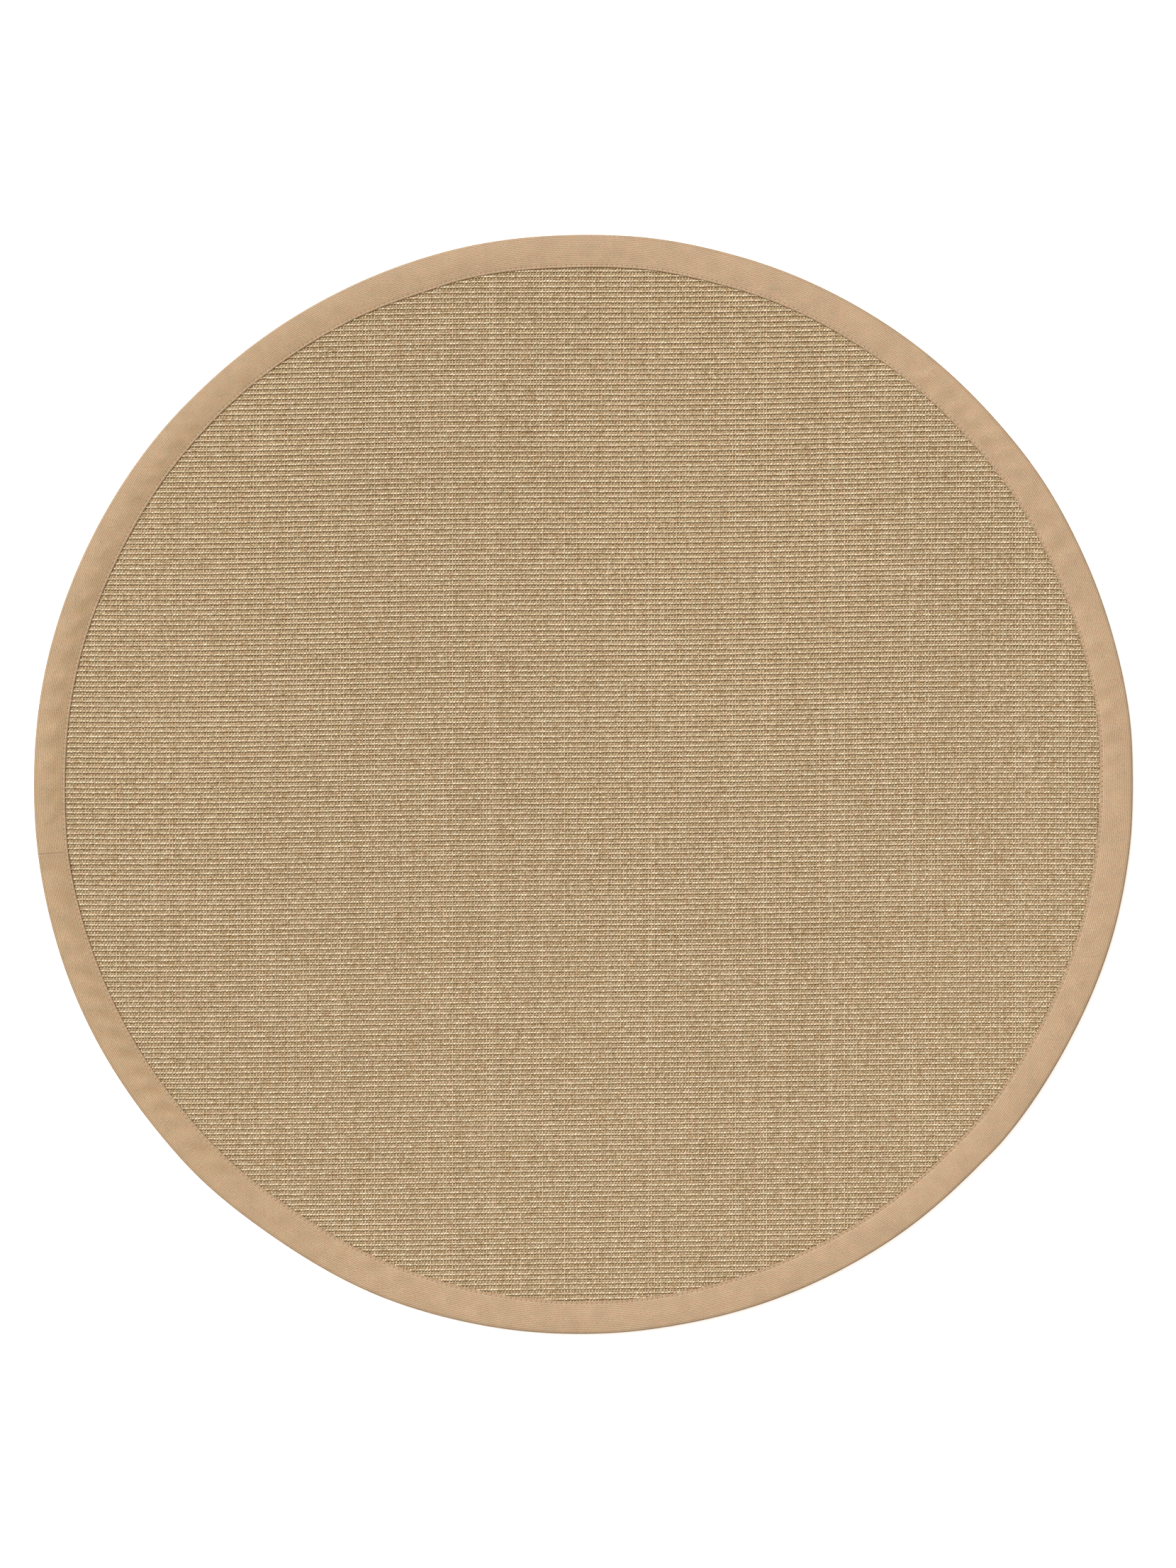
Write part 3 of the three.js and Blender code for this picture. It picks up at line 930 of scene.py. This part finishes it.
def cotton_material():
    """Matt cotton twill, with its lines laid round the rug, needle holes and a soft drift in tone, and
    painted shade in its needle holes, pucker troughs, join, outer roll and inner edge.
    """
    t = tape()
    material, tree, shader = new_material("cotton_tape", COTTON_ROUGHNESS)
    shader.inputs["Specular IOR Level"].default_value = 0.45
    shader.inputs["Sheen Weight"].default_value = 0.12
    place = add_node(tree, "ShaderNodeTexCoord").outputs["Object"]
    parts = add_node(tree, "ShaderNodeSeparateXYZ", {"Vector": place})
    turn = maths(tree, "ARCTAN2", parts.outputs["Y"], parts.outputs["X"])
    turns = maths(tree, "DIVIDE", turn, 2 * math.pi)
    reach = kept_value(tree, "reach")
    twill = place_group(tree, twill_group(), {"Turns": turns, "Reach": reach}).outputs["Height"]
    drift = place_group(tree, drift_group(), {"Vector": place, "Strength": COTTON_DRIFT})
    values = {"Vector": place, "Scale": GRAIN_SCALE, "Detail": 2.0}
    grain = add_node(tree, "ShaderNodeTexNoise", values)
    mottle = ramp_value(tree, grain.outputs["Fac"], *SPOT_RANGE)
    mottle = maths(tree, "MULTIPLY", mottle, 1 - TWILL_SHARE)
    share = maths(tree, "MULTIPLY_ADD", twill, TWILL_SHARE, mottle)
    colour = mix_colour(tree, share, opaque(t.shade), opaque(t.cotton))
    colour = warmed(tree, colour, drift.outputs["Warmth"])
    values = {"Vector": place, "Scale": SMUDGE_SCALE, "Detail": 2.0}
    smudge = add_node(tree, "ShaderNodeTexNoise", values)
    smudge = maths(tree, "SUBTRACT", smudge.outputs["Fac"], 0.5)
    light = maths(tree, "MULTIPLY_ADD", smudge, SMUDGE_SHARE, drift.outputs["Light"])
    colour = brightened(tree, colour, light)
    side = maths(tree, "MULTIPLY", maths(tree, "SUBTRACT", turns, LEFT_TURNS), 2 * math.pi)
    side = ramp_value(tree, maths(tree, "COSINE", side), 0.0, 1.0)
    colour = toned(tree, colour, side, LEFT_TONE)
    # Painted shade in the troughs between the puckers.
    colour = toned(tree, colour, kept_value(tree, "crease_shade"), CREASE_SHADE)
    # Painted shadow in the crevice along the join.
    colour = toned(tree, colour, kept_value(tree, "gap_shade"), GAP_SHADE)
    # Painted shade on the tape's outer roll.
    colour = toned(tree, colour, ramp_value(tree, reach, RIM_FROM, RIM_FULL), RIM_SHADE)
    # Painted shade on the tape's turned-in inner edge.
    colour = toned(tree, colour, ramp_value(tree, reach, NOSE_FROM, NOSE_FULL), NOSE_SHADE)
    hole = needle_holes(tree, turns, reach)
    # Painted shade in the needle holes.
    colour = mix_colour(tree, maths(tree, "MULTIPLY", hole, HOLE_SHARE), colour, opaque(HOLE_SHADE))
    tree.links.new(colour, shader.inputs["Base Color"])
    relief = maths(tree, "MULTIPLY_ADD", hole, -HOLE_DEPTH, twill)
    bump = add_node(tree, "ShaderNodeBump", {"Height": relief, "Strength": 0.8, "Distance": 0.2 * MM})
    tree.links.new(bump.outputs[0], shader.inputs["Normal"])
    return material


HOLE_FROM = 1.04 * MM
HOLE_FULL = 0.32 * MM
HOLE_REACH = 2.8 * MM
HOLE_STRETCH = 0.5
THREAD_ROUGHNESS = 0.6
THREAD_SCALE = 3000
THREAD_SHADE = 0.85


def needle_holes(tree, turns, reach):
    """1 at the needle holes between the stitches, and 0 away from them."""
    t = tape()
    seam_radius = NOSE_RADIUS + t.seam
    number = maths(tree, "MULTIPLY", turns, t.stitches)
    along = maths(tree, "PINGPONG", maths(tree, "ADD", number, 0.5), 0.5)
    along = maths(tree, "MULTIPLY", along, 2 * math.pi * seam_radius / t.stitches)
    across = maths(tree, "MULTIPLY", maths(tree, "SUBTRACT", reach, HOLE_REACH), HOLE_STRETCH)
    squares = maths(tree, "MULTIPLY_ADD", along, along, maths(tree, "MULTIPLY", across, across))
    return ramp_value(tree, maths(tree, "SQRT", squares), HOLE_FROM, HOLE_FULL)


def thread_material():
    """Plain cotton thread with fine streaks."""
    material, tree, shader = new_material("sewing_thread", THREAD_ROUGHNESS)
    place = scaled_place(tree, (THREAD_SCALE, THREAD_SCALE, THREAD_SCALE))
    fibres = place_group(tree, fibre_group(), {"Vector": place})
    share = fibres.outputs["Streak"]
    thread = tape().thread
    darker = tuple(THREAD_SHADE * part for part in thread)
    colour = mix_colour(tree, share, opaque(darker), opaque(thread))
    tree.links.new(colour, shader.inputs["Base Color"])
    return material


def finish_piece(piece, material):
    """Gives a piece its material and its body."""
    piece.data.materials.append(material)
    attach(piece, BODY)


# Operators and panel

ROW_START = first_row()
ROW_COUNT = int(RIM_RADIUS / ROW_PITCH) + 1
# How fine the fibres are along X, Y and Z, in yarns that run along X or along Y.
ALONG_X = (1050, 1200, 900)
ALONG_Y = (1000, 800, 900)


class RUG_OT_loops(bpy.types.Operator):
    """Lay the raised rows of sisal loops"""

    bl_idname = "rug.loops"
    bl_label = "Rows of loops"

    def execute(self, context):
        rng = np.random.default_rng(SEED)
        rows = made_yarns(loop_row, ROW_COUNT, rng)
        sizes = np.cumsum([len(row[0]) for row in rows])
        band = np.minimum(LOOP_BANDS * sizes // (sizes[-1] + 1), LOOP_BANDS - 1)
        material = sisal_material("sisal_loops", ALONG_X)
        for number in range(LOOP_BANDS):
            chosen = [rows[k] for k in np.flatnonzero(band == number)]
            piece = yarn_piece(f"loop_rows_{number + 1}", chosen)
            finish_piece(piece, material)
        return {"FINISHED"}


class RUG_OT_warps(bpy.types.Operator):
    """Lay the warps and the low wefts that cross between the rows"""

    bl_idname = "rug.warps"
    bl_label = "Warps and wefts"

    def execute(self, context):
        rng = np.random.default_rng(SEED + 1)
        columns = int(RIM_RADIUS / weave().loop_pitch)
        for name, make, count, scale in (("warp_yarns", warp_yarn, columns, ALONG_Y),
                                         ("weft_yarns", weft_yarn, ROW_COUNT, ALONG_X)):
            piece = yarn_piece(name, made_yarns(make, count, rng))
            finish_piece(piece, sisal_material(name, scale))
        return {"FINISHED"}


class RUG_OT_ground(bpy.types.Operator):
    """Lay the ground cloth of the field"""

    bl_idname = "rug.ground"
    bl_label = "Ground cloth"

    def execute(self, context):
        piece = ground_cloth()
        finish_piece(piece, ground_material())
        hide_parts(FIELD_NODE)
        return {"FINISHED"}


class RUG_OT_tape(bpy.types.Operator):
    """Fold the cotton tape over the edge"""

    bl_idname = "rug.tape"
    bl_label = "Cotton tape"

    def execute(self, context):
        piece = laid_tape()
        finish_piece(piece, cotton_material())
        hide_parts(TAPE_NODE)
        return {"FINISHED"}


class RUG_OT_stitches(bpy.types.Operator):
    """Sew the tape down near its inner edge"""

    bl_idname = "rug.stitches"
    bl_label = "Seam stitches"

    def execute(self, context):
        piece = yarn_piece("seam_stitches", [stitch(number) for number in range(tape().stitches)])
        finish_piece(piece, thread_material())
        return {"FINISHED"}


IMAGE_SIZE = (1659, 2212)
RUG_RADIUS = 0.75
RUG_RADIUS_PIXELS = 776.62
RUG_MIDDLE_PIXELS = (822.85, 1106.3)
SENSOR = 36.0
FLOOR_SIZE = 12.0
FLOOR_ROUGHNESS = 0.9
# The fill is a little warm and the key a little cool, so shadows keep the sisal's colour.
FILL_TINT = (1.06, 1.0, 0.86)
KEY_TINT = (0.963, 1.0, 1.087)
KEY_FROM = (-1.0, 1.0, 1.1)


class RUG_OT_studio(bpy.types.Operator):
    """Set the pale floor, the soft light from the upper left and the camera overhead"""

    bl_idname = "rug.studio"
    bl_label = "Studio"

    def execute(self, context):
        s = studio()
        scene = context.scene
        scene.view_settings.view_transform = "Standard"
        # The loops are so fine that the usual, smoothed guides of the denoiser would wipe them out.
        scene.cycles.denoising_prefilter = "FAST"
        self.make_surroundings(scene, s)
        self.make_floor(s)
        self.make_light(scene, s)
        self.make_camera(scene, s)
        return {"FINISHED"}

    def make_surroundings(self, scene, s):
        """The fill light from all round, and a white backdrop behind the floor in low views."""
        world = bpy.data.worlds.new("studio_world")
        world.use_nodes = True
        tree = world.node_tree
        white = (1, 1, 1, 1)
        fill = tree.nodes["Background"]
        fill.inputs["Color"].default_value = opaque(FILL_TINT)
        fill.inputs["Strength"].default_value = s.fill_strength
        backdrop = add_node(tree, "ShaderNodeBackground", {"Color": white, "Strength": 1.0})
        seen = add_node(tree, "ShaderNodeLightPath").outputs["Is Camera Ray"]
        ends = {0: seen, 1: fill.outputs[0], 2: backdrop.outputs[0]}
        chosen = add_node(tree, "ShaderNodeMixShader", ends)
        tree.links.new(chosen.outputs[0], tree.nodes["World Output"].inputs["Surface"])
        scene.world = world

    def make_floor(self, s):
        """The pale floor that the rug lies on."""
        form = bmesh.new()
        bmesh.ops.create_grid(form, x_segments=1, y_segments=1, size=FLOOR_SIZE / 2)
        mesh = bpy.data.meshes.new("floor")
        form.to_mesh(mesh)
        form.free()
        floor = link("floor", mesh)
        material, tree, shader = new_material("floor", FLOOR_ROUGHNESS)
        shader.inputs["Base Color"].default_value = opaque(s.floor)
        shader.inputs["Emission Color"].default_value = (1, 1, 1, 1)
        shader.inputs["Emission Strength"].default_value = s.floor_glow
        floor.data.materials.append(material)

    def make_light(self, scene, s):
        """One broad light from the photo's upper left."""
        lamp = bpy.data.lights.new("key_light", "SUN")
        lamp.energy = s.key_strength
        lamp.color = KEY_TINT
        lamp.angle = s.key_spread
        light = bpy.data.objects.new("key_light", lamp)
        scene.collection.objects.link(light)
        direction = Vector(KEY_FROM)
        light.rotation_euler = direction.to_track_quat("Z", "Y").to_euler()

    def make_camera(self, scene, s):
        """A camera straight above, with the rug as large and as far off centre as in the photo."""
        lens = bpy.data.cameras.new("camera")
        lens.lens = s.lens
        lens.sensor_fit = "VERTICAL"
        lens.sensor_height = SENSOR
        lens.clip_end = 50.0
        camera = bpy.data.objects.new("camera", lens)
        scene.collection.objects.link(camera)
        pixel = RUG_RADIUS / RUG_RADIUS_PIXELS
        height = IMAGE_SIZE[1] * pixel * s.lens / SENSOR
        across = (IMAGE_SIZE[0] / 2 - RUG_MIDDLE_PIXELS[0]) * pixel
        along = (RUG_MIDDLE_PIXELS[1] - IMAGE_SIZE[1] / 2) * pixel
        camera.location = (across, along, height + TAPE_TOP)
        scene.camera = camera


class RUG_PT_rug(bpy.types.Panel):
    """The rug's settings and steps"""

    bl_label = "Round Sisal Rug"
    bl_idname = "RUG_PT_rug"
    bl_space_type = "VIEW_3D"
    bl_region_type = "UI"
    bl_category = "Rug"

    def draw(self, context):
        for settings in (weave(), tape(), studio()):
            box = self.layout.box()
            for name in settings.bl_rna.properties.keys():
                if name not in ("rna_type", "name"):
                    box.prop(settings, name)
        for step in STEPS:
            self.layout.operator(step.bl_idname)


STEPS = (RUG_OT_studio, RUG_OT_loops, RUG_OT_warps, RUG_OT_ground, RUG_OT_stitches, RUG_OT_tape)
GROUPS = {"rug_weave": RugWeave, "rug_tape": RugTape, "rug_studio": RugStudio}


def register():
    for one in (*GROUPS.values(), *STEPS, RUG_PT_rug):
        bpy.utils.register_class(one)
    for name, group in GROUPS.items():
        setattr(bpy.types.Scene, name, PointerProperty(type=group))


def unregister():
    for name in GROUPS:
        delattr(bpy.types.Scene, name)
    for one in reversed((*GROUPS.values(), *STEPS, RUG_PT_rug)):
        bpy.utils.unregister_class(one)


def main():
    register()
    bpy.ops.rug.studio()
    bpy.ops.rug.loops()
    bpy.ops.rug.warps()
    bpy.ops.rug.ground()
    bpy.ops.rug.stitches()
    bpy.ops.rug.tape()


if __name__ == "__main__":
    main()
